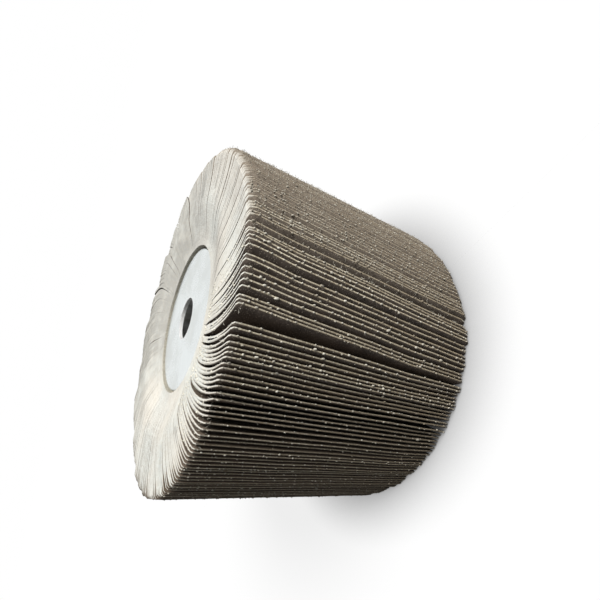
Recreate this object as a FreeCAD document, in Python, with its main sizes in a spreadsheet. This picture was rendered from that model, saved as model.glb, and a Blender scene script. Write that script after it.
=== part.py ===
import FreeCAD, Part

import math
import os

import Sketcher

# Drum flap wheel. It stands on its rear end with its axis along +Z and its front end up.
# The origin is on the axis, in the plane of the rear ends of the flaps. Lengths are in millimetres.

SIZES = [
    ("wheel_diameter", 150.0, "over the tips of the flaps at the front end"),
    ("wheel_width", 102.0, "width of the cloth, end to end"),
    ("rear_radius_drop", 3.8, "the tips lie over further at the rear end, which is smaller by this much"),
    ("corner_break", 1.5, "cut across the outer corners of the flaps"),
    ("end_dish", 3.5, "the flaps' ends fall by this much from their straight stretch to the packed cloth"),
    ("cloth_thickness", 0.8, "abrasive cloth with its grit"),
    ("cloth_gap", 0.1, "resin between two flaps where the packed cloth ends"),
    ("packed_margin", 1.9, "how far outside the flange the cloth is still packed tight"),
    ("root_depth", 6.5, "how far the flaps reach in under the flange"),
    ("straight_length", 11.6, "stretch of a flap beyond the packed cloth that stands nearly straight"),
    ("hook_length", 15.0, "outer stretch of a flap, which is bent over furthest"),
    ("straight_shift", 0.5, "sideways lean of a flap where its straight stretch ends"),
    ("hook_shift", 3.5, "sideways lean of a flap where its hook begins"),
    ("tip_shift", 12.5, "sideways lean of a flap at its tip"),
    ("parting_turn", 6.6, "degrees of the wheel over which a parting between flaps dies away"),
    ("flange_diameter", 65.0, "pressed steel flange"),
    ("flange_thickness", 1.5, "sheet of the flange"),
    ("flange_recess", 4.5, "flange face below the ends of the flaps"),
    ("rim_depth", 6.0, "outer face of the flange to the edge of its rim"),
    ("bend_radius", 1.2, "outer bend of the flange"),
    ("rim_clearance", 0.1, "flange rim in its groove in the cloth"),
    ("bore_diameter", 19.0, "for the spindle"),
    ("tube_wall", 2.0, "steel tube round the bore"),
]

# The flaps bunch in waves round the wheel: how many, their share of the bunching, and where they start.
WAVES = [(11, 0.22, 0.4), (29, 0.2, 1.9), (67, 0.13, 3.1)]
# The tips part widely at these places: degrees round the wheel, and size beside the widest.
PARTINGS = [(31.0, 0.45), (84.0, 0.6), (131.0, 0.35), (184.5, 1.0), (209.0, 0.4), (243.0, 0.25),
            (292.0, 0.5), (338.0, 0.7)]
PARTING_SHARE = 0.45
# How much of the free room between flaps the tightest bunch uses up.
CLOSENESS = 0.8
# How far a flap has taken up its sideways shift at its root, half way out, at its bend and at its tip.
FOLLOW = (0.0, 0.4, 0.75, 1.0)
# A sketch is drawn anywhere off the axis first, and its constraints then bring it to size.
DRAWN_AT, DRAWN_RADIUS = 10.0, 5.0

HALF_BORE = "sizes.bore_diameter / 2"
HALF_FLANGE = "sizes.flange_diameter / 2"
UNDER_FLANGE = "sizes.flange_recess + sizes.flange_thickness"
BETWEEN_FLANGES = "sizes.wheel_width - 2 * (%s)" % UNDER_FLANGE
FLAP_ROOT = HALF_FLANGE + " - sizes.root_depth"


def make_sheet(doc):
    sheet = doc.addObject("Spreadsheet::Sheet", "sizes")
    for row, (alias, value, note) in enumerate(SIZES, start=1):
        sheet.set("A%d" % row, alias)
        sheet.set("B%d" % row, str(value))
        sheet.set("C%d" % row, note)
        sheet.setAlias("B%d" % row, alias)
    doc.recompute()
    return sheet


def origin_plane(body, role):
    return next(item for item in body.Origin.OriginFeatures if item.Role == role)


def add_outline(body, name, points):
    """A closed outline in the XZ plane, each corner placed by two expressions: radius and height."""
    sketch = body.newObject("Sketcher::SketchObject", name)
    sketch.AttachmentSupport = [(origin_plane(body, "XZ_Plane"), "")]
    sketch.MapMode = "FlatFace"
    count = len(points)
    turns = [2 * math.pi * i / count for i in range(count)]
    middle = FreeCAD.Vector(DRAWN_AT, DRAWN_AT, 0)
    corners = [middle + FreeCAD.Vector(math.cos(turn), math.sin(turn), 0) * DRAWN_RADIUS for turn in turns]
    for i in range(count):
        sketch.addGeometry(Part.LineSegment(corners[i], corners[(i + 1) % count]), False)
    for i in range(count):
        sketch.addConstraint(Sketcher.Constraint("Coincident", i, 2, (i + 1) % count, 1))
    for i, place in enumerate(points):
        for kind, along, expression in zip(("DistanceX", "DistanceY"), (corners[i].x, corners[i].y), place):
            index = sketch.addConstraint(Sketcher.Constraint(kind, -1, 1, i, 1, along))
            sketch.setExpression("Constraints[%d]" % index, expression)
    return sketch


def revolve(body, sketch, name):
    turned = body.newObject("PartDesign::Revolution", name)
    turned.Profile = sketch
    turned.ReferenceAxis = (sketch, ["V_Axis"])
    turned.Angle = 360.0
    return turned


def make_tube(doc):
    """Steel tube from flange to flange, whose inside is the bore."""
    body = doc.addObject("PartDesign::Body", "centre_tube")
    body.Label = "centre_tube"
    sketch = body.newObject("Sketcher::SketchObject", "tube_section")
    sketch.AttachmentSupport = [(origin_plane(body, "XY_Plane"), "")]
    sketch.MapMode = "FlatFace"
    for i, expression in enumerate((HALF_BORE, HALF_BORE + " + sizes.tube_wall")):
        radius = DRAWN_RADIUS * (i + 1)
        sketch.addGeometry(Part.Circle(FreeCAD.Vector(), FreeCAD.Vector(0, 0, 1), radius), False)
        sketch.addConstraint(Sketcher.Constraint("Coincident", i, 3, -1, 1))
        index = sketch.addConstraint(Sketcher.Constraint("Radius", i, radius))
        sketch.setExpression("Constraints[%d]" % index, expression)
    pad = body.newObject("PartDesign::Pad", "tube_length")
    pad.Profile = sketch
    pad.setExpression("Length", BETWEEN_FLANGES)
    body.setExpression("Placement.Base.z", UNDER_FLANGE)
    return body


def make_core(doc):
    """Cast resin between the tube and the roots of the flaps, under both flanges."""
    outside = doc.addObject("Part::Cylinder", "core_outside")
    outside.setExpression("Radius", FLAP_ROOT)
    outside.setExpression("Height", BETWEEN_FLANGES)
    inside = doc.addObject("Part::Cylinder", "core_inside")
    inside.setExpression("Radius", HALF_BORE + " + sizes.tube_wall")
    inside.setExpression("Height", BETWEEN_FLANGES)
    core = doc.addObject("Part::Cut", "resin_core")
    core.Label = "resin_core"
    core.Base = outside
    core.Tool = inside
    core.setExpression("Placement.Base.z", UNDER_FLANGE)
    return core


def make_flange(doc, name):
    """Flat pressed disc with a rim turned inwards. Its rim's edge is at height 0 and its face looks up."""
    body = doc.addObject("PartDesign::Body", name)
    body.Label = name
    rim = HALF_FLANGE + " - sizes.flange_thickness"
    under = "sizes.rim_depth - sizes.flange_thickness"
    sketch = add_outline(body, name + "_section", [
        (HALF_BORE, under), (rim, under), (rim, "0"),
        (HALF_FLANGE, "0"), (HALF_FLANGE, "sizes.rim_depth"), (HALF_BORE, "sizes.rim_depth")])
    disc = revolve(body, sketch, name + "_disc")
    doc.recompute()
    rings = [(number, edge) for number, edge in enumerate(disc.Shape.Edges, start=1)
             if isinstance(edge.Curve, Part.Circle)]
    outer_edge = "Edge%d" % max(rings, key=lambda ring: (ring[1].Curve.Radius + ring[1].Curve.Center.z))[0]
    bend = body.newObject("PartDesign::Fillet", name + "_bend")
    bend.Base = (disc, [outer_edge])
    bend.setExpression("Radius", "sizes.bend_radius")
    return body


def make_flanges(doc):
    """Two like flanges, one turned over, whose faces lie below the ends of the flaps."""
    front = make_flange(doc, "front_flange")
    front.setExpression("Placement.Base.z", "sizes.wheel_width - sizes.flange_recess - sizes.rim_depth")
    rear = make_flange(doc, "rear_flange")
    rear.Placement = FreeCAD.Placement(FreeCAD.Vector(), FreeCAD.Rotation(FreeCAD.Vector(1, 0, 0), 180))
    rear.setExpression("Placement.Base.z", "sizes.flange_recess + sizes.rim_depth")
    return [front, rear]


def make_hollow(doc):
    """What the flaps leave free inside: the core, a recess at each end and a groove for each flange rim."""
    body = doc.addObject("PartDesign::Body", "flap_hollow")
    groove_in = HALF_FLANGE + " - sizes.flange_thickness - sizes.rim_clearance"
    groove_out = HALF_FLANGE + " + sizes.rim_clearance"
    notch = "sizes.flange_recess + sizes.rim_depth + sizes.rim_clearance"
    front = "sizes.wheel_width - (%s)"
    sketch = add_outline(body, "hollow_outline", [
        ("0", "0"), (groove_out, "0"), (groove_out, notch), (groove_in, notch), (groove_in, UNDER_FLANGE),
        (FLAP_ROOT, UNDER_FLANGE), (FLAP_ROOT, front % UNDER_FLANGE), (groove_in, front % UNDER_FLANGE),
        (groove_in, front % notch), (groove_out, front % notch), (groove_out, "sizes.wheel_width"),
        ("0", "sizes.wheel_width")])
    revolve(body, sketch, "hollow_turned")
    return body


def bunching(turn, decay):
    """Sideways shift in radians, at most about 1 for each radian, of the flap whose tip stands at turn."""
    shift = sum(share * math.sin(number * turn + phase) / number for number, share, phase in WAVES)
    for degrees, size in PARTINGS:
        away = (turn - math.radians(degrees) + math.pi) % (2 * math.pi) - math.pi
        reach = decay * size
        shift += PARTING_SHARE * reach * math.copysign(math.exp(-abs(away) / reach), away)
    return shift


def on_circle(radius, turn):
    return FreeCAD.Vector(radius * math.cos(turn), radius * math.sin(turn), 0)


def along_to_radius(start, direction, radius):
    """How far from start, along direction, the distance from the axis becomes radius."""
    across = start.dot(direction)
    return math.sqrt(across * across + radius * radius - start.dot(start)) - across


def flap_sides(turn, shift, radii, leans, thickness):
    """The two sides of one flap outside the packed cloth, its outermost direction, and its middle there."""
    middles = [on_circle(radius, turn + lean / radius + shift * follow)
               for radius, lean, follow in zip(radii, leans, FOLLOW)]
    runs = [(outer - inner).normalize() for inner, outer in zip(middles, middles[1:])]
    sides = []
    for sign in (-1, 1):
        side = []
        for middle, before, after in zip(middles[1:], runs, runs[1:]):
            mean = (before + after).normalize()
            across = FreeCAD.Vector(-mean.y, mean.x, 0)
            side.append(middle + across * (sign * thickness / 2 / mean.dot(before)))
        sides.append(side)
    return sides, runs[-1], middles[-2]


def flap_faces(roots, root_heights, sides, direction, middle, tips):
    """Plane faces of one flap: three runs on each side, its tip, and its two ends, which slope near the root.
    The tip follows tips, a list of height and radius from the rear end to the front end."""
    reaches = [along_to_radius(middle, direction, radius) for height, radius in tips]
    heights = [FreeCAD.Vector(0, 0, height) for height, radius in tips]
    up = heights[-1]
    faces, edges = [], []
    for root, side in zip(roots, sides):
        inner, outer = side
        edge = [outer + direction * reach + height for reach, height in zip(reaches, heights)]
        faces.append([root + root_heights[0], inner, inner + up, root + root_heights[1]])
        faces.append([inner, outer, outer + up, inner + up])
        faces.append([outer] + edge + [outer + up])
        edges.append(edge)
    lower, upper = edges
    for i in range(len(tips) - 1):
        faces.append([lower[i], lower[i + 1], upper[i + 1], upper[i]])
    for place, rise, root_rise in ((0, heights[0], root_heights[0]), (-1, up, root_heights[1])):
        low, high = sides[0][0] + rise, sides[1][0] + rise
        faces.append([low, sides[0][1] + rise, lower[place], upper[place], sides[1][1] + rise, high])
        faces.append([roots[0] + root_rise, low, high])
        faces.append([roots[0] + root_rise, high, roots[1] + root_rise])
    return faces


def make_comb(doc):
    """All the flaps, packed tight up to a little past the flange, with nothing left free inside."""
    sizes = doc.sizes
    tip = sizes.wheel_diameter / 2
    packed = sizes.flange_diameter / 2 + sizes.packed_margin
    radii = (packed, packed + sizes.straight_length, tip - sizes.hook_length, tip)
    leans = (0.0, sizes.straight_shift, sizes.hook_shift, sizes.tip_shift)
    rear_tip = tip - sizes.rear_radius_drop
    tips = [(0.0, rear_tip - sizes.corner_break), (sizes.corner_break, rear_tip),
            (sizes.wheel_width - sizes.corner_break, tip), (sizes.wheel_width, tip - sizes.corner_break)]
    count = int(2 * math.pi * packed / (sizes.cloth_thickness + sizes.cloth_gap))
    pitch = 2 * math.pi / count
    steepest = math.hypot(1, (sizes.tip_shift - sizes.hook_shift) / sizes.hook_length)
    free = 1 - sizes.cloth_thickness * steepest / (pitch * tip)
    decay = math.radians(sizes.parting_turn)
    dish, width = sizes.end_dish, sizes.wheel_width
    root_heights = [FreeCAD.Vector(0, 0, height) for height in (dish, width - dish)]
    polygons, ring = [], []
    for number in range(count):
        turn = number * pitch
        shift = CLOSENESS * free * bunching(turn + sizes.tip_shift / tip, decay)
        sides, direction, middle = flap_sides(turn, shift, radii, leans, sizes.cloth_thickness)
        roots = [on_circle(packed, turn + side * pitch / 2) for side in (-1, 1)]
        polygons += flap_faces(roots, root_heights, sides, direction, middle, tips)
        ring.append(roots[0])
    polygons += [[point + height for point in ring] for height in root_heights]
    sewn = Part.Compound([Part.Face(Part.makePolygon(points + points[:1])) for points in polygons])
    sewn.sewShape()
    comb = doc.addObject("Part::Feature", "flap_comb")
    comb.Shape = Part.makeSolid(sewn.Shells[0])
    print("flaps:", count, "pitch at the tip %.2f mm" % (pitch * tip))
    return comb


def make_flaps(doc):
    """The flaps, held together at their packed roots."""
    flaps = doc.addObject("Part::Cut", "abrasive_flaps")
    flaps.Label = "abrasive_flaps"
    flaps.Base = make_comb(doc)
    flaps.Tool = make_hollow(doc)
    return flaps


def check(doc, pieces):
    for item in doc.Objects:
        if "Invalid" in item.State or "Error" in item.State:
            raise RuntimeError("%s failed: %s" % (item.Name, item.State))
    for piece in pieces:
        if piece.Shape.isNull() or not piece.Shape.isValid():
            raise RuntimeError(piece.Label + " has no valid shape")
        print("%-16s solids %d, faces %d, volume %.1f cm3" % (
            piece.Label, len(piece.Shape.Solids), len(piece.Shape.Faces), piece.Shape.Volume / 1000))


def main():
    doc = FreeCAD.newDocument("flap_wheel")
    make_sheet(doc)
    pieces = [make_flaps(doc), make_core(doc), make_tube(doc)] + make_flanges(doc)
    doc.recompute()
    check(doc, pieces)
    os.makedirs("parts", exist_ok=True)
    for piece in pieces:
        piece.Shape.exportStep("parts/%s.step" % piece.Label)


main()
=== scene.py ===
import math
import random

import bmesh
import bpy
from mathutils import Matrix, Vector


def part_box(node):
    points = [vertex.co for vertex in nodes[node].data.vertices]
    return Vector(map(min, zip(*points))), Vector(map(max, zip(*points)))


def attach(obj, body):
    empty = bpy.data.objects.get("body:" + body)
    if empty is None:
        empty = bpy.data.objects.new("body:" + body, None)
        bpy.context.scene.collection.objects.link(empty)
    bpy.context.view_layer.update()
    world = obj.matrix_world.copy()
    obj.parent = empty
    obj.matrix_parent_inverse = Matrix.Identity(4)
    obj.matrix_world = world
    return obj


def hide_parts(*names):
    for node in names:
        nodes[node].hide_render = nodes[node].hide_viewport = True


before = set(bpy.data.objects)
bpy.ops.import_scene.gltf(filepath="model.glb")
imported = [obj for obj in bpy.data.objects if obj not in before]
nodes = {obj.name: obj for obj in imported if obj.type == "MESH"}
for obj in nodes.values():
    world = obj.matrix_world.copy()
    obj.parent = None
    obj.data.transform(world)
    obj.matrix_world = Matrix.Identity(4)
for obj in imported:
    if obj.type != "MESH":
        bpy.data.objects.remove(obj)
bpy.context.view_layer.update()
mm = 0.001
print("frame loaded:", sorted(nodes))

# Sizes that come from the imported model
flapLow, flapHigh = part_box("abrasive_flaps")
flangeLow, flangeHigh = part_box("front_flange")
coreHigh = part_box("resin_core")[1]
wheel = {
    "radius": flapHigh.x,
    "width": flapHigh.z - flapLow.z,
    "flangeRadius": flangeHigh.x,
    "flangeFace": flangeHigh.z,
    "flangeRim": flangeHigh.z - flangeLow.z,
    "coreRadius": coreHigh.x,
    "coreTop": coreHigh.z,
}
flapCount = 240


# Node trees

def fill(tree, node, inputs):
    # inputs are numbers, colours or sockets of other nodes
    for key, value in inputs.items():
        if isinstance(value, bpy.types.NodeSocket):
            tree.links.new(value, node.inputs[key])
        else:
            node.inputs[key].default_value = value


def addNode(tree, kind, inputs=None, **settings):
    # settings are the node's own properties
    made = tree.nodes.new(kind)
    for name, value in settings.items():
        setattr(made, name, value)
    fill(tree, made, inputs or {})
    return made


def nodeOut(tree, kind, inputs=None, **settings):
    # adds the node and gives its first output
    return addNode(tree, kind, inputs, **settings).outputs[0]


def calc(tree, operation, *values):
    return nodeOut(tree, "ShaderNodeMath", dict(enumerate(values)), operation=operation)


def chained(operation):
    # a sum, difference or product of two or more values
    def run(tree, first, *others):
        for value in others:
            first = calc(tree, operation, first, value)
        return first
    return run


plus, minus, times = chained("ADD"), chained("SUBTRACT"), chained("MULTIPLY")


def mixFloat(tree, share, low, high):
    inputs = {0: share, 2: low, 3: high}
    return nodeOut(tree, "ShaderNodeMix", inputs, data_type="FLOAT")


def mixColour(tree, share, low, high):
    inputs = {0: share, 6: low, 7: high}
    return addNode(tree, "ShaderNodeMix", inputs, data_type="RGBA").outputs[2]


def rescale(tree, value, fromLow, fromHigh, toLow, toHigh, kind="LINEAR"):
    inputs = {0: value, 1: fromLow, 2: fromHigh, 3: toLow, 4: toHigh}
    return nodeOut(tree, "ShaderNodeMapRange", inputs, interpolation_type=kind, clamp=True)


def split(tree, vector):
    return addNode(tree, "ShaderNodeSeparateXYZ", {0: vector}).outputs


def join(tree, x, y, z):
    return nodeOut(tree, "ShaderNodeCombineXYZ", {0: x, 1: y, 2: z})


def noise(tree, vector, scale, detail):
    inputs = {"Vector": vector, "Scale": scale, "Detail": detail}
    return nodeOut(tree, "ShaderNodeTexNoise", inputs)


def newGroup(name, kind, inputs, outputs):
    # inputs: name to (kind, value); outputs: name to kind
    tree = bpy.data.node_groups.new(name, kind)
    for label, (socketKind, value) in inputs.items():
        made = tree.interface.new_socket(label, in_out="INPUT",
                                         socket_type="NodeSocket" + socketKind)
        if value is not None:
            made.default_value = value
    for label, socketKind in outputs.items():
        tree.interface.new_socket(label, in_out="OUTPUT", socket_type="NodeSocket" + socketKind)
    return tree, tree.nodes.new("NodeGroupInput").outputs, tree.nodes.new("NodeGroupOutput")


# Shader effects that several materials share

grainShape = {"finer": 2.7, "edge": (0.15, 0.5)}


def makeGrainGroup():
    # loose grains of two sizes: a mask of the grains, and a height for bump
    tree, given, out = newGroup("grain", "ShaderNodeTree", {
        "Vector": ("Vector", None), "Grains per metre": ("Float", 2500.0),
        "Roughening": ("Float", 0.5)}, {"Mask": "Float", "Height": "Float"})
    big = addNode(tree, "ShaderNodeTexVoronoi",
                  {"Vector": given["Vector"], "Scale": given["Grains per metre"]})
    finer = times(tree, given["Grains per metre"], grainShape["finer"])
    fine = addNode(tree, "ShaderNodeTexVoronoi", {"Vector": given["Vector"], "Scale": finer})
    cell = addNode(tree, "ShaderNodeSeparateColor", {0: big.outputs["Color"]})
    edge = rescale(tree, big.outputs["Distance"], *grainShape["edge"], 1, 0)
    mask = times(tree, cell.outputs[0], edge)
    low = times(tree, fine.outputs["Distance"], given["Roughening"])
    fill(tree, out, {"Mask": mask, "Height": minus(tree, mask, low)})
    return tree


weaveShape = {"threadEdge": (0.05, 0.6)}


def makeWeaveGroup():
    # plain weave: a height that rises over each thread, and a mask of the threads
    tree, given, out = newGroup("weave", "ShaderNodeTree", {
        "Vector": ("Vector", None), "Threads per metre": ("Float", 2200.0)},
        {"Height": "Float", "Mask": "Float"})
    place = split(tree, given["Vector"])
    turns = times(tree, given["Threads per metre"], math.pi)
    across = calc(tree, "SINE", times(tree, place[0], turns))
    along = calc(tree, "SINE", times(tree, place[1], turns))
    height = calc(tree, "ABSOLUTE", times(tree, across, along))
    fill(tree, out, {"Height": height,
                     "Mask": rescale(tree, height, *weaveShape["threadEdge"], 0, 1)})
    return tree


mottleShape = {"patchEdge": (0.3, 0.7), "patchDetail": 3.0,
               "streakEdge": (0.35, 0.65), "streakDetail": 2.0}


def makeMottleGroup():
    # soft patches and fine streaks, for stains, dust and worn plating
    tree, given, out = newGroup("mottle", "ShaderNodeTree", {
        "Vector": ("Vector", None), "Patches per metre": ("Float", 120.0),
        "Streaks per metre": ("Float", 900.0)}, {"Patches": "Float", "Streaks": "Float"})
    patches = noise(tree, given["Vector"], given["Patches per metre"], mottleShape["patchDetail"])
    streaks = noise(tree, given["Vector"], given["Streaks per metre"], mottleShape["streakDetail"])
    fill(tree, out, {
        "Patches": rescale(tree, patches, *mottleShape["patchEdge"], 0, 1, "SMOOTHSTEP"),
        "Streaks": rescale(tree, streaks, *mottleShape["streakEdge"], 0, 1)})
    return tree


grainGroup = makeGrainGroup()
weaveGroup = makeWeaveGroup()
mottleGroup = makeMottleGroup()


def useGroup(tree, group, inputs):
    return addNode(tree, "ShaderNodeGroup", inputs, node_tree=group).outputs


def useMottle(tree, place, scales):
    # scales: patches and streaks per metre
    return useGroup(tree, mottleGroup, {
        "Vector": place, "Patches per metre": scales[0], "Streaks per metre": scales[1]})


def newMaterial(name):
    made = bpy.data.materials.new(name)
    made.use_nodes = True
    return made, made.node_tree, made.node_tree.nodes["Principled BSDF"]


def bumpInto(tree, shader, height, bump):
    # bump: how strong, and how deep
    inputs = {"Height": height, "Strength": bump[0], "Distance": bump[1]}
    fill(tree, shader, {"Normal": nodeOut(tree, "ShaderNodeBump", inputs)})


def objectPlace(tree):
    return addNode(tree, "ShaderNodeTexCoord").outputs["Object"]


def stretched(tree, place, scale):
    return nodeOut(tree, "ShaderNodeMapping", {"Vector": place, "Scale": scale})


def clothPlace(tree):
    # a point's place on its flap: metres from the axis and the rear end, and the flap's offset
    return addNode(tree, "ShaderNodeAttribute", attribute_name="clothPlace").outputs["Vector"]


def flapValue(tree, name):
    return addNode(tree, "ShaderNodeAttribute", attribute_name=name).outputs["Fac"]


# In every look, mottle, stain, tinge and lines are patches and streaks per metre
gritLook = {
    "dark": (0.062, 0.050, 0.041, 1), "body": (0.14, 0.112, 0.092, 1),
    "grain": (0.33, 0.275, 0.22, 1), "dust": (0.36, 0.30, 0.235, 1),
    "dustDepth": (12 * mm, 2 * mm),  # the dust begins and is full this far below the tip
    "dustGaps": (0.55, 1), "sparkle": (0.25, 0.8), "grainsPerMetre": 1900.0,
    "mottle": (110.0, 700.0),
    "smooth": 0.7,  # the grain mask at which the roughness is least
    "roughness": (0.85, 0.4), "specular": 0.4, "bump": (0.5, 0.12 * mm),
}


def makeGritFace(look):
    made, tree, shader = newMaterial("gritFace")
    place = clothPlace(tree)
    grain = useGroup(tree, grainGroup, {
        "Vector": place, "Grains per metre": look["grainsPerMetre"]})
    mottle = useMottle(tree, place, look["mottle"])
    base = mixColour(tree, mottle["Patches"], look["dark"], look["body"])
    sparkle = rescale(tree, grain["Mask"], *look["sparkle"], 0, 1)
    speckled = mixColour(tree, sparkle, base, look["grain"])
    begins, full = (wheel["radius"] - depth for depth in look["dustDepth"])
    nearTip = rescale(tree, split(tree, place)[0], begins, full, 0, 1)
    dusty = times(tree, nearTip, flapValue(tree, "fluff"),
                  rescale(tree, mottle["Streaks"], 0, 1, *look["dustGaps"]))
    rough = rescale(tree, grain["Mask"], 0, look["smooth"], *look["roughness"])
    fill(tree, shader, {"Base Color": mixColour(tree, dusty, speckled, look["dust"]),
                        "Roughness": rough, "Specular IOR Level": look["specular"]})
    bumpInto(tree, shader, grain["Height"], look["bump"])
    return made


backingLook = {
    "thread": (0.19, 0.15, 0.11, 1), "between": (0.085, 0.066, 0.05, 1),
    "threadsPerMetre": 1900.0, "mottle": (90.0, 500.0), "worn": 0.4,
    "roughness": 0.9, "bump": (0.4, 0.1 * mm),
}


def makeClothBacking(look):
    made, tree, shader = newMaterial("clothBacking")
    place = clothPlace(tree)
    weave = useGroup(tree, weaveGroup, {
        "Vector": place, "Threads per metre": look["threadsPerMetre"]})
    mottle = useMottle(tree, place, look["mottle"])
    base = mixColour(tree, weave["Mask"], look["between"], look["thread"])
    worn = times(tree, mottle["Patches"], look["worn"])
    fill(tree, shader, {"Base Color": mixColour(tree, worn, base, look["between"]),
                        "Roughness": look["roughness"]})
    bumpInto(tree, shader, weave["Height"], look["bump"])
    return made


edgeLook = {
    # tips and sides
    "thread": (0.93, 0.85, 0.655, 1), "dull": (0.37, 0.30, 0.20, 1),
    "dusty": (0.43, 0.37, 0.29, 1), "brown": (0.245, 0.185, 0.13, 1),
    "mottle": (260.0, 1300.0), "patchy": (0.3, 1),
    "fluffDust": 0.75, "rearDull": 0.75,
    # frayed ends, whose grey is both real stains and painted shade on the far side
    "pale": (0.83, 0.85, 0.80, 1), "warm": (0.82, 0.78, 0.70, 1),
    "stainedAndShaded": (0.46, 0.455, 0.425, 1), "stain": (55.0, 230.0),
    "stainStreaks": (0.35, 0.8), "stainShare": 0.45, "tinge": (38.0, 160.0),
    "stainAndShadeStreaks": (0.7, 1.15), "endStreaks": (1, 0.75),
    # the grit layer: where across the edge it ends, and how much of it frayed threads cover
    "grit": (0.10, 0.08, 0.06, 1), "gritShare": -0.14, "gritSoft": 0.06, "frayedCover": 0.97,
    "roughness": 0.95, "bump": (0.6, 0.1 * mm),
}


def makeCutEdge(look):
    # the cut edge of the cloth: cream cotton with the dark grit layer along one side
    made, tree, shader = newMaterial("cutEdge")
    place, onWheel = clothPlace(tree), objectPlace(tree)
    mottle = useMottle(tree, place, look["mottle"])
    stain = useMottle(tree, onWheel, look["stain"])
    tinge = useMottle(tree, onWheel, look["tinge"])

    patchy = rescale(tree, mottle["Patches"], 0, 1, *look["patchy"])
    dull = times(tree, mottle["Streaks"], patchy)
    cotton = mixColour(tree, dull, look["thread"], look["dull"])
    # browner on single tips, and on all tips between 80 and 130 degrees round the wheel
    worn = mixColour(tree, flapValue(tree, "tint"), cotton, look["dull"])
    dusty = mixColour(tree, stain["Patches"], look["dusty"], look["brown"])
    dust = times(tree, flapValue(tree, "fluff"), look["fluffDust"])
    worn = mixColour(tree, dust, worn, dusty)
    # duller towards the rear end
    rear = rescale(tree, split(tree, place)[1], 0, wheel["width"], look["rearDull"], 0)
    worn = mixColour(tree, rear, worn, look["dull"])

    # the frayed ends go grey with stains and dirt, and with painted shade on the far side of the wheel
    streaked = rescale(tree, stain["Streaks"], 0, 1, *look["stainStreaks"])
    stainedAndShaded = times(tree, stain["Patches"], streaked, look["stainShare"])
    stainedAndShaded = times(tree, plus(tree, stainedAndShaded, flapValue(tree, "soil")),
                   rescale(tree, tinge["Streaks"], 0, 1, *look["stainAndShadeStreaks"]))
    bleached = mixColour(tree, tinge["Patches"], look["pale"], look["warm"])
    frayedEnd = mixColour(tree, stainedAndShaded, bleached, look["stainedAndShaded"])
    loose = times(tree, flapValue(tree, "nearEnd"),
                  rescale(tree, mottle["Streaks"], 0, 1, *look["endStreaks"]))
    shaded = mixColour(tree, loose, worn, frayedEnd)

    gritSide = rescale(tree, flapValue(tree, "across"), look["gritShare"] - look["gritSoft"],
                       look["gritShare"] + look["gritSoft"], 1, 0)
    gritSide = times(tree, gritSide, rescale(tree, flapValue(tree, "frayed"), 0, 1, 1,
                                             1 - look["frayedCover"]))
    fill(tree, shader, {"Base Color": mixColour(tree, gritSide, shaded, look["grit"]),
                        "Roughness": look["roughness"]})
    bumpInto(tree, shader, mottle["Streaks"], look["bump"])
    return made


threadLook = {"pale": (0.82, 0.79, 0.68, 1), "dusty": (0.27, 0.225, 0.165, 1),
              "mottle": (600.0, 3000.0), "patchy": 0.35,
              "roughness": (0.85, 1.0)}


def makeLooseThread(look):
    made, tree, shader = newMaterial("looseThread")
    mottle = useMottle(tree, objectPlace(tree), look["mottle"])
    dulled = calc(tree, "MULTIPLY_ADD", mottle["Patches"], look["patchy"],
                  flapValue(tree, "dullness"))
    colour = mixColour(tree, calc(tree, "MINIMUM", dulled, 1.0), look["pale"],
                       look["dusty"])
    rough = rescale(tree, mottle["Streaks"], 0, 1, *look["roughness"])
    fill(tree, shader, {"Base Color": colour, "Roughness": rough})
    return made


packedLook = {"cotton": (0.62, 0.585, 0.49, 1), "between": (0.16, 0.135, 0.10, 1),
              "line": 0.16,  # half the width of a dark line, as a share of the pitch
              "mottle": (300.0, 1500.0), "streaky": 0.5,
              "roughness": 0.95, "bump": (0.5, 0.1 * mm)}


def makePackedCloth(look):
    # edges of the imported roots: a dark line between each two flaps, round the axis
    made, tree, shader = newMaterial("packedCloth")
    place = objectPlace(tree)
    parts = split(tree, place)
    share = times(tree, calc(tree, "ARCTAN2", parts[1], parts[0]), flapCount / (2 * math.pi))
    line = calc(tree, "ABSOLUTE", minus(tree, calc(tree, "FRACT", share), 0.5))
    mask = rescale(tree, line, 0.0, look["line"], 1, 0)
    mottle = useMottle(tree, place, look["mottle"])
    streaky = times(tree, mottle["Streaks"], look["streaky"])
    cotton = mixColour(tree, streaky, look["cotton"], look["between"])
    fill(tree, shader, {"Base Color": mixColour(tree, mask, cotton, look["between"]),
                        "Roughness": look["roughness"]})
    bumpInto(tree, shader, minus(tree, 1.0, mask), look["bump"])
    return made


zincLook = {
    "bright": (0.74, 0.785, 0.785, 1), "dulled": (0.66, 0.69, 0.675, 1),
    "mottle": (75.0, 900.0), "metallic": 0.8, "roughness": (0.2, 0.3),
    "rolled": (0.12, 1.6, 1.0),  # stretch of the rolling lines
    "lines": (400.0, 2400.0), "lineRoughness": 0.06,
    # the wall of the hole is matt and takes the light
    "wall": (0.95, 0.95, 0.93, 1), "holeRadius": 9.5 * mm, "wallEdge": (0.05 * mm, 0.15 * mm),
    "bump": (0.05, 0.02 * mm),
}


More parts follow.
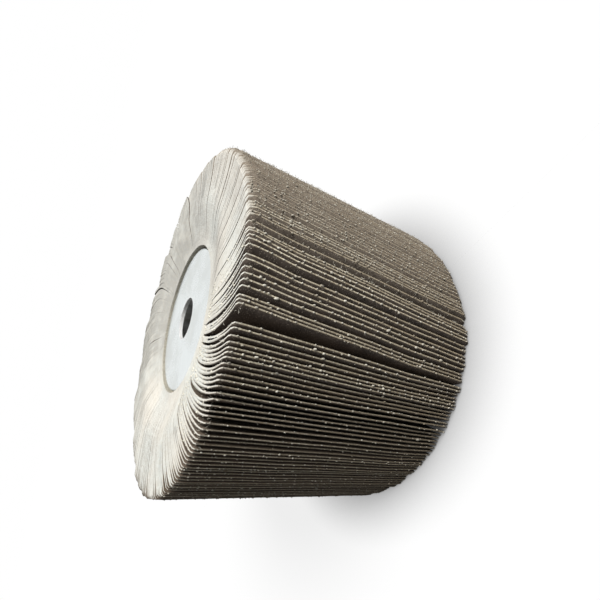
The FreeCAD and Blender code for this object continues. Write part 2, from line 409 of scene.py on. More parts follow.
def makeZincSteel(look):
    # pale satin zinc plating with soft patches and rolling lines
    made, tree, shader = newMaterial("zincSteel")
    place = objectPlace(tree)
    mottle = useMottle(tree, place, look["mottle"])
    lines = useMottle(tree, stretched(tree, place, look["rolled"]), look["lines"])
    flat = addNode(tree, "ShaderNodeVectorMath", {0: place, 1: (1, 1, 0)}, operation="MULTIPLY")
    radius = addNode(tree, "ShaderNodeVectorMath", {0: flat.outputs[0]}, operation="LENGTH")
    begins, ends = (look["holeRadius"] + beyond for beyond in look["wallEdge"])
    wall = rescale(tree, radius.outputs["Value"], begins, ends, 1, 0)
    plated = mixColour(tree, mottle["Patches"], look["bright"], look["dulled"])
    satin = mixFloat(tree, mottle["Patches"], *look["roughness"])
    streaked = times(tree, lines["Streaks"], look["lineRoughness"])
    fill(tree, shader, {"Base Color": mixColour(tree, wall, plated, look["wall"]),
                        "Metallic": mixFloat(tree, wall, look["metallic"], 0.0),
                        "Roughness": plus(tree, satin, streaked)})
    bumpInto(tree, shader, lines["Streaks"], look["bump"])
    return made


# Drawn steel, streaked along the tube, and cast resin, in soft patches
tubeLook = {"colours": ((0.34, 0.345, 0.335, 1), (0.19, 0.185, 0.17, 1)),
            "stretch": (1.0, 1.0, 0.04), "mottle": (500.0, 3200.0),
            "metallic": 1.0, "roughness": (0.35, 0.55), "bumpFrom": "Streaks",
            "bump": (0.15, 0.02 * mm)}
resinLook = {"colours": ((0.33, 0.235, 0.14, 1), (0.20, 0.14, 0.085, 1)),
             "stretch": (1.0, 1.0, 1.0), "mottle": (140.0, 1200.0),
             "metallic": 0.0, "roughness": (0.3, 0.5), "bumpFrom": "Patches",
             "bump": (0.2, 0.2 * mm)}


def makeMottled(name, look):
    # two colours in patches, with streaks in the roughness
    made, tree, shader = newMaterial(name)
    place = stretched(tree, objectPlace(tree), look["stretch"])
    mottle = useMottle(tree, place, look["mottle"])
    fill(tree, shader, {"Base Color": mixColour(tree, mottle["Patches"], *look["colours"]),
                        "Metallic": look["metallic"],
                        "Roughness": rescale(tree, mottle["Streaks"], 0, 1, *look["roughness"])})
    bumpInto(tree, shader, mottle[look["bumpFrom"]], look["bump"])
    return made


gritFace = makeGritFace(gritLook)
clothBacking = makeClothBacking(backingLook)
cutEdge = makeCutEdge(edgeLook)
looseThread = makeLooseThread(threadLook)
packedCloth = makePackedCloth(packedLook)
zincSteel = makeZincSteel(zincLook)
drawnSteel = makeMottled("drawnSteel", tubeLook)
castResin = makeMottled("castResin", resinLook)
print("materials made")


# Flaps

flapSizes = {
    "innerRadius": wheel["flangeRadius"] + 0.8 * mm,  # the flaps' edges are the recess's wall
    "rearDrop": 3.8 * mm,  # the rear end is smaller by this much in radius
    "thickness": 0.8 * mm,
    "tipLean": 12.5 * mm,  # sideways, towards rising angle
    "leanPower": 2.75,  # how late on the way out a flap bends over
    "followPower": 1.5,  # how late it follows the shift of its tip
    "tipTaper": 0.70,  # thickness left at the tip, where the cloth is worn
    "taperFrom": 0.6,  # share of the way out where it starts to thin
    "corner": 1.1 * mm,  # rounding of the outer corners
    "fluffedCorner": 1.4,  # how much more it is where the flaps are fluffed
    "dish": 3.5 * mm,  # the ends fall by this much towards the flange
    "dishFrom": 34.0 * mm,
    "dishTo": 54.0 * mm,
    "frayLength": 1.4 * mm,  # how far from an end the cloth is swollen by its frayed threads
    "packing": 1.05,  # width of a flap that fills its place, in pitches
    "waviness": 0.35 * mm,
    "waveGain": 4.0,
    "waveScale": 2.3,  # waves to a turn, about
    "waveRise": 22.0,  # how fast the waves change along the width, per metre
    "raggedness": 0.35 * mm,  # of the tips' outline
    "ragScale": 14.0,  # along the width
    "ragTurn": 97.0,  # sets each flap's outline apart from its neighbour's
    "wanderFrom": 0.86,  # share of the width beyond which the front end wanders
    "endCrowding": 2.6,  # how much closer the points are near the ends
    "radialPoints": 14,
    "widthPoints": 13,
    "seed": 5,
}
# Waves in how the flaps bunch: number round the wheel, share, and start
bunchWaves = [(11, 0.22, 0.4), (29, 0.2, 1.9), (67, 0.13, 3.1)]
# Partings between tips: degrees round the wheel, and size at the front, in the middle and at the rear
partings = [(12, 0.25, 0.3, 0.3), (40, 0.2, 0.4, 0.3), (84, 0.3, 0.5, 0.4), (131, 0.25, 0.3, 0.3),
            (168.4, 0.0, 0.05, 0.45), (185.15, 1.25, 1.0, 0.45), (206.8, 0.4, 0.5, 0.72),
            (243, 0.08, 0.25, 0.3), (292, 0.2, 0.4, 0.4), (356, 0.75, 0.5, 0.4)]
# Beside a parting: the flaps' shift as a share of its reach, the reach of one of size 1, how near
# to touching the tips come, and the spread of their places
partingSizes = {"share": 0.45, "reach": math.radians(6.6), "closeness": 0.8, "jitter": 0.2}
# How far the rear tips stand back from the front ones, in degrees: mean, swing, where greatest
rearSkew = (1.6, 3.6, 212.0)
# Zones, in degrees round the wheel: from, to, and how softly it ends
fluffed = (203.0, 305.0, 16.0)  # dusty and fluffed up
browned = (80.0, 130.0, 16.0)  # tips browner between these angles
bareEnds = (138.0, 219.0, 26.0)  # ends bare, standing apart in bunches from near the flange out
wornTips = (212.0, 300.0, 30.0)  # tips worn down
wornDepth = 1.3 * mm
# The flaps stand in bunches, in which tips and front ends step. Lengths are in mm here, and far
# means on the side away from the camera
bunches = {
    "farFrom": 0.2,  # cosine of the tip's angle beyond which a bunch is large
    "farCount": (9, 14),
    "nearCount": (4, 7),
    "reach": (0.9, 1.9),  # step of the tips
    "farReach": 0.9,  # share added to it, far
    "reachTop": 0.4,  # share of the step by which the first tip stands out
    "reachSpread": 0.14,
    "fluffedReach": 0.6,  # share of it lost where the flaps are fluffed
    "end": (-0.3, 0.2),  # step of the front ends, inwards
    "farEnd": 0.7,  # added to the larger, far
    "endRise": 0.2,  # along a bunch
    "farEndRise": 1.0,
    "endSpread": 0.06,
    "rearEndSpread": 0.25,
    "pull": 0.11,  # pitches by which a bare end is drawn to its bunch's middle
    "wander": 0.09,  # spread of the ends' own way, in pitches
    "bareWander": 0.8,  # share added to it where they are bare
}
# Dirt on the ends and tips, with painted shade on the far side: the least dirt, the painted shade that
# the far side adds and the dirt that the fluffed flaps add, where the far side's painted shade is
# greatest, and the spread of brown on single tips
dirtAndFarShade = {"least": 0.1, "far": 0.9, "farShadeTurn": 0.15, "fluffed": 0.12, "brown": 0.6}
# Shares of the way out between which the swelling of the ends fades, and what moves them
fraying = {"from": 0.84, "bareFrom": 0.5, "to": 1.06, "bareTo": 0.08, "fluffedTo": 0.36,
           "farTo": 0.3, "spread": 0.05}


def tipShift(turn, size):
    # sideways shift, in radians, of the flap whose tip stands at turn; size: 1 front to 3 rear
    shift = sum(share * math.sin(number * turn + start) / number
                for number, share, start in bunchWaves)
    for row in partings:
        away = (turn - math.radians(row[0]) + math.pi) % (2 * math.pi) - math.pi
        reach = max(partingSizes["reach"] * row[size], 1e-6)
        shift += partingSizes["share"] * reach * math.copysign(math.exp(-abs(away) / reach), away)
    return shift


def shareWithin(turn, low, high, fade):
    degrees = math.degrees(turn) % 360
    return max(0.0, min(1.0, (degrees - low) / fade, (high - degrees) / fade))


def makeFlapRows():
    # one row of values for each flap: where it stands, how its tip and ends step, dirt and fraying
    rows = []
    draw = random.Random(flapSizes["seed"])
    drawFray = random.Random(flapSizes["seed"] + 1)
    pitch = 2 * math.pi / flapCount
    flare = flapSizes["leanPower"] * flapSizes["tipLean"] / (wheel["radius"] - flapSizes["innerRadius"])
    free = 1 - flapSizes["thickness"] * math.hypot(1, flare) / (pitch * wheel["radius"])
    mean, swing, peak = (math.radians(value) for value in rearSkew)
    bunchLeft = 0
    for number in range(flapCount):
        tip = number * pitch + flapSizes["tipLean"] / wheel["radius"]
        far = max(0.0, math.cos(tip))
        fluff = shareWithin(tip, *fluffed)
        bare = shareWithin(tip, *bareEnds)
        if bunchLeft == 0:
            isLarge = far > bunches["farFrom"]
            bunchLeft = draw.randint(*bunches["farCount" if isLarge else "nearCount"])
            bunchSize = bunchLeft
            bunchReach = draw.uniform(*bunches["reach"]) * (1 + bunches["farReach"] * far) * mm
            least, most = bunches["end"]
            bunchEnd = draw.uniform(least, most + bunches["farEnd"] * far) * mm
        place = 1 - bunchLeft / bunchSize
        bunchLeft -= 1
        reach = bunchReach * (bunches["reachTop"] - place ** 2)
        reach += draw.gauss(0, bunches["reachSpread"]) * mm
        reach *= 1 - bunches["fluffedReach"] * fluff
        reach -= wornDepth * shareWithin(tip, *wornTips)
        rise = (bunches["endRise"] + bunches["farEndRise"] * far * place) * mm * place
        end = max(0.0, bunchEnd + rise + draw.gauss(0, bunches["endSpread"]) * mm)
        shifts = []
        for size in (1, 2, 3):
            even = partingSizes["closeness"] * free * tipShift(tip, size)
            shifts.append(even + draw.gauss(0, partingSizes["jitter"]) * free * pitch)
        skew = mean + swing * math.cos(2 * (tip - peak))
        shifts[1] -= skew / 2
        shifts[2] -= skew
        rearSet = abs(draw.gauss(0, bunches["rearEndSpread"])) * mm
        brown = min(1.0, draw.random() ** 2 * dirtAndFarShade["brown"] + shareWithin(tip, *browned))
        # the grey of an end: a little dirt everywhere, and painted shade on the far side of the wheel
        soil = dirtAndFarShade["least"] + max(0.0, math.cos(tip + dirtAndFarShade["farShadeTurn"])) * dirtAndFarShade["far"]
        pull = bunches["pull"] * bare * (bunchSize / 2 - 0.5 - place * bunchSize)
        wander = pull + draw.gauss(0, bunches["wander"]) * (1 + bunches["bareWander"] * bare)
        frayed = drawFray.gauss(0, fraying["spread"])
        rows.append({
            "turn": number * pitch, "frontShift": shifts[0], "middleShift": shifts[1],
            "rearShift": shifts[2], "reach": reach, "frontSet": end, "rearSet": rearSet,
            "tint": brown, "fluff": fluff, "bare": bare, "soil": soil + dirtAndFarShade["fluffed"] * fluff,
            "wander": wander * pitch,
            "frayFrom": fraying["from"] - fraying["bareFrom"] * bare + frayed,
            "frayTo": fraying["to"] - fraying["bareTo"] * bare + fraying["fluffedTo"] * fluff
            + fraying["farTo"] * far + frayed})
    return rows


flapRows = makeFlapRows()


def addObject(name, data):
    made = bpy.data.objects.new(name, data)
    bpy.context.collection.objects.link(made)
    return made


def pointCloud(name, places, rows):
    # loose points, each with its own flap's values
    mesh = bpy.data.meshes.new(name)
    mesh.from_pydata(places, [], [])
    for key in rows[0]:
        values = mesh.attributes.new(key, "FLOAT", "POINT")
        values.data.foreach_set("value", [row[key] for row in rows])
    return addObject(name, mesh)


def named(tree, name):
    made = addNode(tree, "GeometryNodeInputNamedAttribute", {"Name": name}, data_type="FLOAT")
    return made.outputs["Attribute"]


def sizeInputs(*keys):
    # named inputs for these sizes of a flap: tipLean becomes Tip Lean
    spaced = ["".join(" " + sign if sign.isupper() else sign for sign in key) for key in keys]
    return {label.title(): ("Float", flapSizes[key]) for label, key in zip(spaced, keys)}


def makeBendGroup():
    # places a point of a flap by its shares across, outwards and along, and by the flap's own values
    inputs = {label: ("Float", 0.0) for label in ("Across", "Outwards", "Along")}
    inputs.update({"Outer Radius": ("Float", wheel["radius"]), "Width": ("Float", wheel["width"]),
                   "Pitch": ("Float", 2 * math.pi / flapCount)})
    inputs.update(sizeInputs("innerRadius", "rearDrop", "thickness", "tipLean", "leanPower",
                             "followPower", "corner", "frayLength", "waviness", "dish",
                             "dishFrom", "dishTo", "tipTaper", "raggedness"))
    tree, given, out = newGroup(
        "bendFlap", "GeometryNodeTree", inputs,
        {"Position": "Vector", "Radius": "Float", "Height": "Float", "Near End": "Float",
         "Frayed": "Float"})
    half = times(tree, given["Width"], 0.5)
    side = minus(tree, given["Along"], 0.5)
    isFront = calc(tree, "GREATER_THAN", side, 0.0)
    endSet = mixFloat(tree, isFront, named(tree, "rearSet"), named(tree, "frontSet"))
    share = times(tree, side, 2.0)
    endDistance = times(tree, minus(tree, 1.0, calc(tree, "ABSOLUTE", share)), half)

    # radius
    fluffy = calc(tree, "MULTIPLY_ADD", named(tree, "fluff"), flapSizes["fluffedCorner"], 1.0)
    corner = times(tree, given["Corner"], fluffy)
    inCorner = addNode(tree, "ShaderNodeClamp", {0: calc(tree, "DIVIDE", endDistance, corner)})
    beyond = minus(tree, 1.0, inCorner.outputs[0])
    chord = calc(tree, "MAXIMUM", minus(tree, 1.0, times(tree, beyond, beyond)), 0.0)
    rounding = times(tree, corner, minus(tree, 1.0, calc(tree, "SQRT", chord)))
    drop = times(tree, given["Rear Drop"], minus(tree, 1.0, given["Along"]))
    turn = named(tree, "turn")
    ragPlace = join(tree, times(tree, turn, flapSizes["ragTurn"]), given["Along"], 0.0)
    rag = noise(tree, ragPlace, flapSizes["ragScale"], 2.0)
    ragged = times(tree, minus(tree, rag, 0.5), given["Raggedness"])
    tip = plus(tree, minus(tree, given["Outer Radius"], drop), named(tree, "reach"))
    tip = plus(tree, minus(tree, tip, rounding), ragged)
    radius = mixFloat(tree, given["Outwards"], given["Inner Radius"], tip)

    # height
    dished = times(tree, given["Dish"], rescale(tree, radius, given["Dish From"], given["Dish To"],
                                                1.0, 0.0, "SMOOTHSTEP"))
    length = minus(tree, given["Outer Radius"], given["Inner Radius"])
    out01 = calc(tree, "DIVIDE", minus(tree, radius, given["Inner Radius"]), length)
    out01 = calc(tree, "MAXIMUM", out01, 0.0)
    reachUp = minus(tree, half, times(tree, endSet, out01), dished)
    height = calc(tree, "MULTIPLY_ADD", share, reachUp, half)

    # angle of the flap's middle line
    lean = times(tree, given["Tip Lean"], calc(tree, "POWER", out01, given["Lean Power"]))
    steep = calc(tree, "POWER", out01, minus(tree, given["Lean Power"], 1.0))
    steep = times(tree, steep, given["Lean Power"], given["Tip Lean"])
    slope = minus(tree, calc(tree, "DIVIDE", steep, length), calc(tree, "DIVIDE", lean, radius))
    stretch = calc(tree, "SQRT", calc(tree, "MULTIPLY_ADD", slope, slope, 1.0))
    middleShift = named(tree, "middleShift")
    rearHalf = mixFloat(tree, given["Along"], named(tree, "rearShift"), middleShift)
    frontHalf = mixFloat(tree, given["Along"], middleShift, named(tree, "frontShift"))
    shift = mixFloat(tree, given["Along"], rearHalf, frontHalf)
    follow = calc(tree, "POWER", out01, given["Follow Power"])
    angle = plus(tree, turn, calc(tree, "DIVIDE", lean, radius))
    angle = calc(tree, "MULTIPLY_ADD", shift, follow, angle)
    wavePlace = join(tree, calc(tree, "COSINE", turn), calc(tree, "SINE", turn),
                     times(tree, height, flapSizes["waveRise"]))
    wave = minus(tree, noise(tree, wavePlace, flapSizes["waveScale"], 1.0), 0.5)
    waved = times(tree, wave, given["Waviness"], flapSizes["waveGain"], out01)
    angle = plus(tree, angle, calc(tree, "DIVIDE", waved, radius))
    bow = calc(tree, "SINE", times(tree, calc(tree, "MINIMUM", out01, 1.0), math.pi))
    bow = times(tree, bow, rescale(tree, given["Along"], flapSizes["wanderFrom"], 1.0, 0.0, 1.0))
    angle = calc(tree, "MULTIPLY_ADD", named(tree, "wander"), bow, angle)

    # width across, up to a full place where the end is frayed
    packed = times(tree, given["Pitch"], radius, flapSizes["packing"])
    taper = rescale(tree, out01, flapSizes["taperFrom"], 1.0, 1.0, given["Tip Taper"])
    bare = calc(tree, "MINIMUM", times(tree, given["Thickness"], stretch, taper), packed)
    nearEnd = rescale(tree, endDistance, 0.0, given["Fray Length"], 1.0, 0.0, "SMOOTHSTEP")
    inner = rescale(tree, out01, named(tree, "frayFrom"), named(tree, "frayTo"), 1.0, 0.0,
                    "SMOOTHSTEP")
    frayed = times(tree, nearEnd, inner)
    wide = times(tree, given["Across"], mixFloat(tree, frayed, bare, packed))
    angle = plus(tree, angle, calc(tree, "DIVIDE", wide, radius))
    place = join(tree, times(tree, radius, calc(tree, "COSINE", angle)),
                 times(tree, radius, calc(tree, "SINE", angle)), height)
    fill(tree, out, {"Position": place, "Radius": radius, "Height": height,
                     "Near End": nearEnd, "Frayed": frayed})
    return tree


bendGroup = makeBendGroup()


def startTree(name, inputs):
    # a modifier's tree, with the sizes as named inputs
    return newGroup(name, "GeometryNodeTree", {"Geometry": ("Geometry", None), **inputs},
                    {"Geometry": "Geometry"})


def store(tree, geometry, name, value, kind="FLOAT", domain="POINT"):
    return nodeOut(tree, "GeometryNodeStoreNamedAttribute",
                   {"Geometry": geometry, "Name": name, "Value": value},
                   data_type=kind, domain=domain)


def setMaterial(tree, geometry, material, **selection):
    inputs = {"Geometry": geometry, "Material": material, **selection}
    return nodeOut(tree, "GeometryNodeSetMaterial", inputs)


def setSmooth(tree, geometry, smooth, **selection):
    inputs = {"Geometry": geometry, "Shade Smooth": smooth, **selection}
    return nodeOut(tree, "GeometryNodeSetShadeSmooth", inputs)


def ownPlace(tree):
    return split(tree, tree.nodes.new("GeometryNodeInputPosition").outputs[0])


bendInputs = sizeInputs("thickness", "tipLean", "waviness", "raggedness")


def callBend(tree, given, across, outwards, along):
    inputs = {"Across": across, "Outwards": outwards, "Along": along}
    inputs.update({key: given[key] for key in bendInputs})
    return addNode(tree, "GeometryNodeGroup", inputs, node_tree=bendGroup).outputs


def makeFlapTree():
    tree, given, out = startTree("flapTree", {
        "Radial Points": ("Int", flapSizes["radialPoints"]),
        "Width Points": ("Int", flapSizes["widthPoints"]),
        "End Crowding": ("Float", flapSizes["endCrowding"]), **bendInputs})
    sheet = nodeOut(tree, "GeometryNodeMeshCube", {
        "Size": (1, 1, 1), "Vertices X": 2, "Vertices Y": given["Radial Points"],
        "Vertices Z": given["Width Points"]})
    facing = split(tree, tree.nodes.new("GeometryNodeInputNormal").outputs[0])
    sheet = store(tree, sheet, "facing", facing[0], domain="FACE")
    points = nodeOut(tree, "GeometryNodeMeshToPoints", {"Mesh": given["Geometry"]})
    spread = addNode(tree, "GeometryNodeInstanceOnPoints", {"Points": points, "Instance": sheet})
    flaps = nodeOut(tree, "GeometryNodeRealizeInstances", {"Geometry": spread.outputs[0]})

    unit = ownPlace(tree)
    outwards = plus(tree, unit[1], 0.5)
    signed = times(tree, unit[2], 2.0)
    fromEnd = minus(tree, 1.0, calc(tree, "ABSOLUTE", signed))
    crowded = calc(tree, "POWER", calc(tree, "MAXIMUM", fromEnd, 0.0), given["End Crowding"])
    along = times(tree, calc(tree, "SIGN", signed), minus(tree, 1.0, crowded))
    along = calc(tree, "MULTIPLY_ADD", along, 0.5, 0.5)
    flaps = store(tree, flaps, "across", unit[0])
    bent = callBend(tree, given, unit[0], outwards, along)
    placeOnCloth = join(tree, bent["Radius"], bent["Height"], named(tree, "turn"))
    flaps = store(tree, flaps, "nearEnd", bent["Near End"])
    flaps = store(tree, flaps, "frayed", bent["Frayed"])
    flaps = store(tree, flaps, "clothPlace", placeOnCloth, "FLOAT_VECTOR")
    flaps = nodeOut(tree, "GeometryNodeSetPosition",
                    {"Geometry": flaps, "Position": bent["Position"]})
    side = named(tree, "facing")
    isFace = calc(tree, "GREATER_THAN", calc(tree, "ABSOLUTE", side), 0.5)
    flaps = setSmooth(tree, setSmooth(tree, flaps, False), True, Selection=isFace)
    isGrit = calc(tree, "LESS_THAN", side, -0.5)
    isBacking = calc(tree, "GREATER_THAN", side, 0.5)
    flaps = setMaterial(tree, flaps, cutEdge)
    flaps = setMaterial(tree, flaps, gritFace, Selection=isGrit)
    flaps = setMaterial(tree, flaps, clothBacking, Selection=isBacking)
    fill(tree, out, {"Geometry": flaps})
    return tree


def applyTree(source, tree, name):
    # runs the tree on the source's points and keeps the result as a plain mesh
    modifier = source.modifiers.new(tree.name, "NODES")
    modifier.node_group = tree
    evaluated = source.evaluated_get(bpy.context.evaluated_depsgraph_get())
    result = bpy.data.meshes.new_from_object(evaluated)
    source.modifiers.remove(modifier)
    bpy.data.objects.remove(source)
    result.name = name
    print(name, sum(len(polygon.vertices) - 2 for polygon in result.polygons), "triangles")
    return addObject(name, result)


flapPlaces = pointCloud("flapPlaces", [(0, 0, 0)] * flapCount, flapRows)
clothFlaps = applyTree(flapPlaces, makeFlapTree(), "cloth_flaps")
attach(clothFlaps, "root")
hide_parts("abrasive_flaps")
print("flaps made")


# Loose thread ends: knots where the weft was cut, and short fibres. Across is a share of the
# flap's width, outwards of its way out, and along of the wheel's width

threadSizes = {
    "margin": 1 * mm,  # left free of knots at both ends of an edge
    "knotSpacing": 3.6 * mm,  # along each edge
    "knotSteps": (0.4, 0.8, 1.0, 1.2, 1.6),  # shares of the spacing
    "fluffedKnots": 0.6,  # share of knots added where the flaps are fluffed
    "knotRadius": 0.28 * mm,
    "knotLeast": 0.35,  # share of the radius that a knot has at least
    "knotty": (150.0, 235.0, 25.0),  # where knots are largest: from, to, how softly it ends
    "knotSize": (0.7, 0.3, 0.2),  # elsewhere, added there, and lost where fluffed
    "knotStretch": 1.6,  # how much longer than wide, along the edge
    "knotSpread": 0.38,  # how much their sizes vary
    "knotAcross": (-0.35, 0.6),
    "knotSqueeze": (0.7, 1.25),
    "knotTilt": (0.35, 0.35, 3.14),
    "brownFade": 0.9,  # how much of their paleness the brown tint, fluff and the rear end take
    "fluffFade": (0.1, 0.3),
    "rearFade": 0.4,
    "fluffPale": 0.65,  # what a fluffed flap's knots keep of it
    "bareFrom": 0.4,  # how bare an end is that has knots and fibres of its own
    "endKnotFrom": 40 * mm,  # and from which radius
    "endKnotSpacing": 0.7,  # share of the spacing
    "endKnotSize": 0.85,
    "endKnotStretch": 0.9,
    "endKnotAcross": (-0.5, 0.6),
    "fibreCount": 9600,
    "fluffedFrom": 0.15,  # how fluffed a flap is that takes the share below
    "fluffedShare": 0.8,  # share of the fibres that stand on the fluffed flaps
    "fluffedFibres": ((-1.2, 1.2), (0.5, 1.3)),  # across, and size
    "otherFibres": ((-0.5, 0.5), (0.25, 0.7)),
    "fibreAlong": (0.012, 0.976, 0.8),  # from, length, and how they gather at the front
    "fibreLength": 0.9 * mm,
    "fibreRadius": 0.06 * mm,
    "fibreBow": 0.35,  # share of its length
    "fibreFade": (0.5, 0.3),  # by the brown tint, and by fluff
    "endShare": 0.15,  # share of the fibres that stand on the front ends
    "endAcross": (-1.3, 1.3),
    "endOutwards": (0.25, 1.0),
    "endDepth": 0.03,
    "endSize": (0.6, 1.3),
    "seed": 11,
}


def makeThreadPlaces():
    # knots and fibres: where on its flap each one stands, with the flap's values
    own = threadSizes
    draw = random.Random(own["seed"])
    spacing = own["knotSpacing"]
    knots, fibres = [], []

    def addKnot(row, place, size, dullness, stretch):
        knots.append((place, dict(row, size=size * own["knotRadius"], dullness=dullness,
                                  stretch=stretch)))

    def drawSize(mean):
        return max(own["knotLeast"], draw.gauss(mean, own["knotSpread"]))

    for row in flapRows:
        elsewhere, added, lost = own["knotSize"]
        zone = elsewhere + added * shareWithin(row["turn"], *own["knotty"]) - lost * row["fluff"]
        height = draw.uniform(own["margin"], spacing)
        while height < wheel["width"] - own["margin"]:
            size = drawSize(1) * zone
            place = (draw.uniform(*own["knotAcross"]), 1.0, height / wheel["width"])
            faded = own["brownFade"] * row["tint"]
            faded += row["fluff"] * draw.uniform(*own["fluffFade"])
            faded += own["rearFade"] * (1 - place[2])
            faded = min(faded, 1 - own["fluffPale"] * row["fluff"])
            addKnot(row, place, size, faded, own["knotStretch"])
            step = spacing * draw.choice(own["knotSteps"])
            height += step / (1 + own["fluffedKnots"] * row["fluff"])
        radius = wheel["radius"] - draw.uniform(0, spacing)
        while radius > own["endKnotFrom"] and row["bare"] > own["bareFrom"]:
            outwards = radius - flapSizes["innerRadius"]
            outwards /= wheel["radius"] - flapSizes["innerRadius"]
            size = drawSize(own["endKnotSize"])
            place = (draw.uniform(*own["endKnotAcross"]), outwards, 1.0)
            addKnot(row, place, size, 0.0, own["endKnotStretch"])
            radius -= own["endKnotSpacing"] * spacing * draw.choice(own["knotSteps"])

    fluffy = [row for row in flapRows if row["fluff"] > own["fluffedFrom"]]
    bareRows = [row for row in flapRows if row["bare"] > own["bareFrom"]]
    start, reach, gather = own["fibreAlong"]
    brownFade, fluffFade = own["fibreFade"]
    for number in range(own["fibreCount"]):
        onFluff = draw.random() < own["fluffedShare"]
        row = draw.choice(fluffy if onFluff else flapRows)
        across, sizes = own["fluffedFibres" if onFluff else "otherFibres"]
        place = (draw.uniform(*across), 1.0, start + reach * draw.random() ** gather)
        size = draw.uniform(*sizes)
        if draw.random() < own["endShare"]:
            row = draw.choice(bareRows)
            place = (draw.uniform(*own["endAcross"]), draw.uniform(*own["endOutwards"]),
                     1 - own["endDepth"] * draw.random())
            size = draw.uniform(*own["endSize"])
        dullness = brownFade * row["tint"] + fluffFade * row["fluff"]
        fibres.append((place, dict(row, size=size, dullness=dullness)))
    return knots, fibres


def randomVector(tree, given, low, high):
    inputs = {0: low, 1: high, "Seed": given["Seed"]}
    return nodeOut(tree, "FunctionNodeRandomValue", inputs, data_type="FLOAT_VECTOR")


def spreadThreads(tree, given, shape, turned, scale):
    # the shape at each point, which first moves to its place on its bent flap
    points = nodeOut(tree, "GeometryNodeMeshToPoints", {"Mesh": given["Geometry"]})
    bent = callBend(tree, given, *ownPlace(tree))
    points = nodeOut(tree, "GeometryNodeSetPosition",
                     {"Geometry": points, "Position": bent["Position"]})
    spread = nodeOut(tree, "GeometryNodeInstanceOnPoints", {
        "Points": points, "Instance": shape, "Rotation": turned, "Scale": scale})
    return nodeOut(tree, "GeometryNodeRealizeInstances", {"Geometry": spread})


threadInputs = {**bendInputs, "Seed": ("Int", threadSizes["seed"])}


def makeKnotTree():
    tree, given, out = startTree("knotTree", threadInputs)
    knot = nodeOut(tree, "GeometryNodeMeshIcoSphere", {"Radius": 1.0, "Subdivisions": 1})
    least, most = threadSizes["knotSqueeze"]
    squeeze = randomVector(tree, given, (least,) * 3, (most,) * 3)
    stretch = join(tree, 1.0, 1.0, named(tree, "stretch"))
    squeeze = addNode(tree, "ShaderNodeVectorMath", {0: squeeze, 1: stretch}, operation="MULTIPLY")
    scale = addNode(tree, "ShaderNodeVectorMath",
                    {0: squeeze.outputs[0], "Scale": named(tree, "size")}, operation="SCALE")
    tilt = threadSizes["knotTilt"]
    turned = randomVector(tree, given, tuple(-angle for angle in tilt), tilt)
    solid = spreadThreads(tree, given, knot, turned, scale.outputs[0])
    solid = setSmooth(tree, solid, True)
    fill(tree, out, {"Geometry": setMaterial(tree, solid, looseThread)})
    return tree


def makeFibreTree():
    tree, given, out = startTree("fibreTree", {
        **threadInputs, "Fibre Length": ("Float", threadSizes["fibreLength"]),
        "Fibre Radius": ("Float", threadSizes["fibreRadius"])})
    length = given["Fibre Length"]
    middle = join(tree, times(tree, length, threadSizes["fibreBow"]), 0.0, times(tree, length, 0.5))
    arc = nodeOut(tree, "GeometryNodeCurveQuadraticBezier", {
        "Resolution": 3, "Start": (0, 0, 0), "Middle": middle,
        "End": join(tree, 0.0, 0.0, length)})
    section = nodeOut(tree, "GeometryNodeCurvePrimitiveCircle",
                      {"Resolution": 3, "Radius": given["Fibre Radius"]})
    fibre = nodeOut(tree, "GeometryNodeCurveToMesh",
                    {"Curve": arc, "Profile Curve": section, "Fill Caps": True})
    turned = randomVector(tree, given, (0, 0, 0), (6.28, 6.28, 6.28))
    solid = spreadThreads(tree, given, fibre, turned, named(tree, "size"))
    fill(tree, out, {"Geometry": setMaterial(tree, solid, looseThread)})
    return tree


knotPlaces, fibrePlaces = makeThreadPlaces()
threadEnds = applyTree(pointCloud("knotPlaces", *zip(*knotPlaces)), makeKnotTree(), "thread_knots")
looseFibres = applyTree(pointCloud("fibrePlaces", *zip(*fibrePlaces)), makeFibreTree(), "loose_fibres")
for piece in (threadEnds, looseFibres):
    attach(piece, "root")
    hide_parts("abrasive_flaps")
print("threads made")


# Packed roots: the ring of cloth under the flanges, between the flaps and the resin

packedSizes = {
    "clearance": 0.1 * mm,
    "outwards": 1.2 * mm,  # how far the ring reaches in among the flaps
    "grooveDepth": 1.5 * mm,  # of the dark gap round the flange, below its face
    "rimSheet": 1.5 * mm,
    "topDrop": 0.4 * mm,  # how far it stays below the flaps' ends
}


def makePackedRoots():
    clearance = packedSizes["clearance"]
    outer = flapSizes["innerRadius"] + packedSizes["outwards"]
    rimOut = wheel["flangeRadius"] + clearance
    groove = flapSizes["innerRadius"] - clearance
    grooveFloor = wheel["flangeFace"] - packedSizes["grooveDepth"]
    rimIn = wheel["flangeRadius"] - packedSizes["rimSheet"] - clearance
    under = wheel["coreTop"]
    notch = wheel["flangeFace"] - wheel["flangeRim"] - clearance
    top = wheel["width"] - flapSizes["dish"] - packedSizes["topDrop"]
    half = [(outer, top), (groove, top), (groove, grooveFloor), (rimOut, grooveFloor),
            (rimOut, notch), (rimIn, notch), (rimIn, under), (wheel["coreRadius"], under)]
    outline = half + [(radius, wheel["width"] - height) for radius, height in reversed(half)]
    shape = bmesh.new()
    rings = []
    for step in range(flapCount):
        turn = 2 * math.pi * step / flapCount
        rings.append([shape.verts.new((radius * math.cos(turn), radius * math.sin(turn), height))
                      for radius, height in outline])
    for here, ahead in zip(rings, rings[1:] + rings[:1]):
        for i in range(len(outline)):
            after = (i + 1) % len(outline)
            shape.faces.new((here[i], ahead[i], ahead[after], here[after]))
    bmesh.ops.recalc_face_normals(shape, faces=shape.faces)
    mesh = bpy.data.meshes.new("packed_roots")
    shape.to_mesh(mesh)
    shape.free()
    mesh.materials.append(packedCloth)
    return addObject("packed_roots", mesh)


packedRoots = makePackedRoots()
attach(packedRoots, "root")
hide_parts("abrasive_flaps")
print("packed roots made")


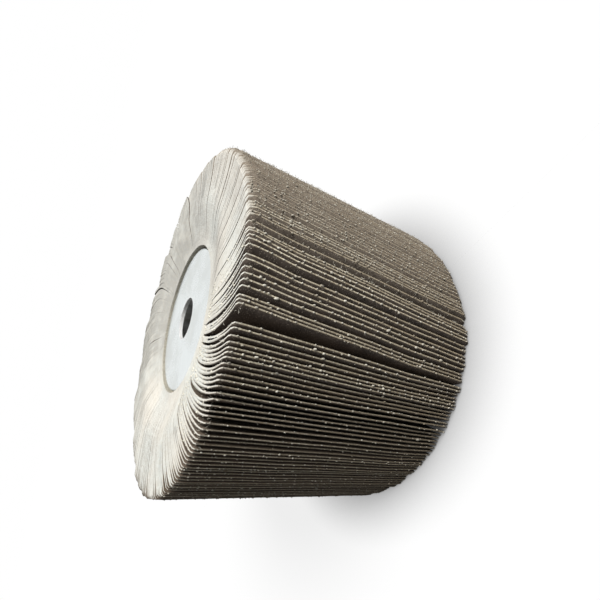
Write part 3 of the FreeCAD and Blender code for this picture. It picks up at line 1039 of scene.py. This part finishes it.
# Finish of the pieces that keep their own shape
finishes = {"front_flange": zincSteel, "rear_flange": zincSteel, "centre_tube": drawnSteel,
            "resin_core": castResin}
for name, material in finishes.items():
    nodes[name].data.materials.clear()
    nodes[name].data.materials.append(material)
print("finishes set")


# Floor, light and camera

floorLook = {"size": 60.0, "colour": (0.90, 0.90, 0.90, 1), "bounced": (0.08, 0.08, 0.08, 1),
             "shadowShare": 0.16, "contactShadowReach": 25 * mm}


def seenDirectly(tree):
    # 1 for rays from the camera, off shiny surfaces and through clear ones
    path = tree.nodes.new("ShaderNodeLightPath").outputs
    direct = calc(tree, "MAXIMUM", path["Is Camera Ray"], path["Is Glossy Ray"])
    return calc(tree, "MAXIMUM", direct, path["Is Transmission Ray"])


def makeFloor():
    half = floorLook["size"] / 2
    mesh = bpy.data.meshes.new("floor")
    corners = [(-half, -half, 0), (half, -half, 0), (half, half, 0), (-half, half, 0)]
    mesh.from_pydata(corners, [], [(0, 1, 2, 3)])
    made = bpy.data.materials.new("paleFloor")
    made.use_nodes = True
    tree = made.node_tree
    tree.nodes.clear()
    plain = nodeOut(tree, "ShaderNodeBsdfDiffuse", {"Color": floorLook["colour"]})
    dim = nodeOut(tree, "ShaderNodeBsdfDiffuse", {"Color": floorLook["bounced"]})
    # the floor's white glow dims by ambient occlusion under and beside the wheel: a painted contact
    # shadow
    open01 = addNode(tree, "ShaderNodeAmbientOcclusion", {"Distance": floorLook["contactShadowReach"]})
    white = nodeOut(tree, "ShaderNodeEmission",
                    {"Color": (1, 1, 1, 1), "Strength": open01.outputs["AO"]})
    seen = nodeOut(tree, "ShaderNodeMixShader",
                   {0: floorLook["shadowShare"], 1: white, 2: plain})
    mixed = addNode(tree, "ShaderNodeMixShader", {0: seenDirectly(tree), 1: dim, 2: seen})
    addNode(tree, "ShaderNodeOutputMaterial", {"Surface": mixed.outputs[0]})
    mesh.materials.append(made)
    floor = addObject("floor", mesh)


worldLook = {"ambient": 0.12}


def makeWorld():
    world = bpy.data.worlds.new("studio")
    bpy.context.scene.world = world
    world.use_nodes = True
    tree = world.node_tree
    tree.nodes.clear()
    strength = mixFloat(tree, seenDirectly(tree), worldLook["ambient"], 1.0)
    back = addNode(tree, "ShaderNodeBackground", {"Color": (1, 1, 1, 1), "Strength": strength})
    addNode(tree, "ShaderNodeOutputWorld", {"Surface": back.outputs[0]})


# One broad soft lamp above the picture's top: the way to it, its strength and width
lampLook = {"towards": (-0.36, -0.62, 0.86), "strength": 4.3, "width": math.radians(32)}


def makeLamp():
    light = bpy.data.lights.new("keyLamp", "SUN")
    light.energy = lampLook["strength"]
    light.angle = lampLook["width"]
    made = addObject("keyLamp", light)
    made.rotation_mode = "QUATERNION"
    made.rotation_quaternion = (-Vector(lampLook["towards"])).to_track_quat("-Z", "Y")
    made.visible_glossy = False  # the flange shows the white surroundings, not the lamp


# The photograph's camera: close to the wheel, with the picture's top towards -Y
cameraSizes = {"place": (-184.94 * mm, -5.6 * mm, 140.4 * mm), "forward": (0.88161, 0.0107, -0.47186),
               "up": (0.12112, -0.97139, 0.20427), "lens": 24.694, "sensor": 36.0,
               "shift": (0.0075, 0.0614), "clip": (0.005, 20.0)}


def makeCamera():
    camera = bpy.data.cameras.new("camera")
    camera.lens = cameraSizes["lens"]
    camera.sensor_width = cameraSizes["sensor"]
    camera.shift_x, camera.shift_y = cameraSizes["shift"]
    camera.clip_start, camera.clip_end = cameraSizes["clip"]
    made = addObject("camera", camera)
    forward = Vector(cameraSizes["forward"]).normalized()
    right = forward.cross(Vector(cameraSizes["up"])).normalized()
    up = right.cross(forward)
    turned = Matrix((right, up, -forward)).transposed()
    made.matrix_world = Matrix.Translation(cameraSizes["place"]) @ turned.to_4x4()
    bpy.context.scene.camera = made


makeFloor()
makeWorld()
makeLamp()
makeCamera()
bpy.context.scene.view_settings.view_transform = "Standard"
print("stage made")
